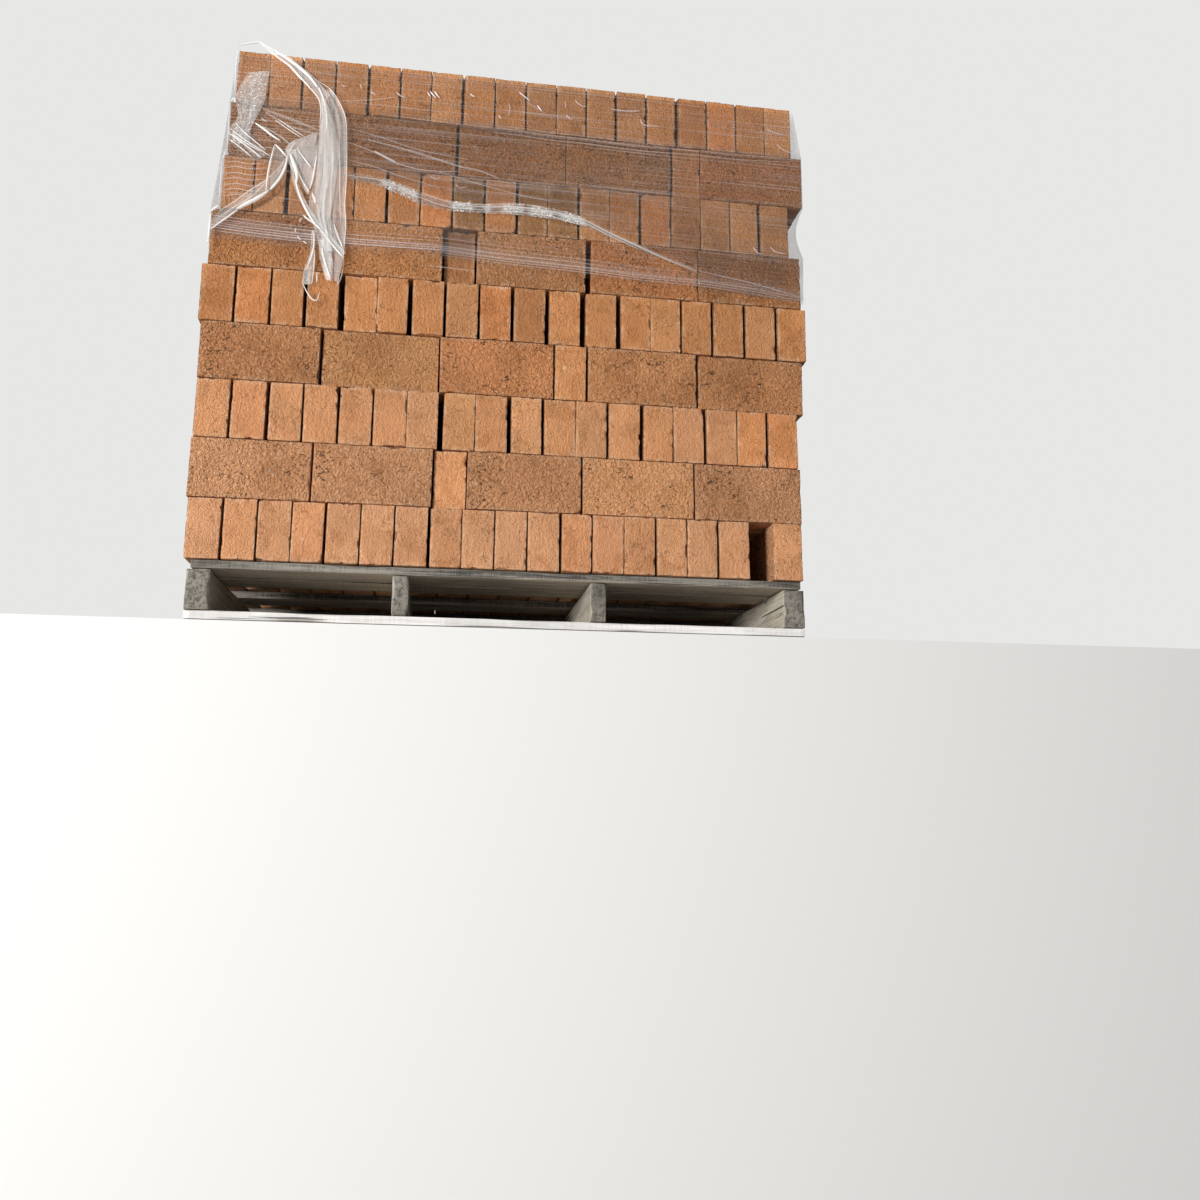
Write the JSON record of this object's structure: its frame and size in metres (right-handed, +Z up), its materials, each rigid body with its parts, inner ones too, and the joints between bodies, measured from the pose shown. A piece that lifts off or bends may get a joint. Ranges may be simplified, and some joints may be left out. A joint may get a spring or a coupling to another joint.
{
  "type": "pallet of bricks",
  "caption": "Bonded stack of clay bricks on edge on a timber stringer pallet, with torn stretch film round the upper courses.",
  "frame": {"origin": "middle of the pallet's underside, on the middle bottom board", "axes": "+X to the right along the front face, +Y to the back, +Z up"},
  "size_m": [1.2523, 0.9599, 1.207],
  "materials": {
    "brick": "rough fired clay, sandy faces",
    "pallet_wood": "rough sawn, weathered grey",
    "stretch_film": "clear stretch film, glossy and wrinkled"
  },
  "bodies": {
    "root": {"bottom_board_front": "pallet_wood", "bottom_board_middle": "pallet_wood", "bottom_board_back": "pallet_wood", "stringer_left": "pallet_wood", "stringer_inner_left": "pallet_wood", "stringer_inner_right": "pallet_wood", "stringer_right": "pallet_wood", "deck_board_1": "pallet_wood", "deck_board_2": "pallet_wood", "deck_board_3": "pallet_wood", "deck_board_4": "pallet_wood", "deck_board_5": "pallet_wood", "deck_board_6": "pallet_wood", "course_1": "brick", "course_2": "brick", "course_3": "brick", "course_4": "brick", "course_5": "brick", "course_6": "brick", "course_7": "brick", "course_8": "brick", "course_9": "brick", "film_wrap": "stretch_film", "film_tail": "stretch_film", "film_fold": "stretch_film"}
  },
  "joints": []
}
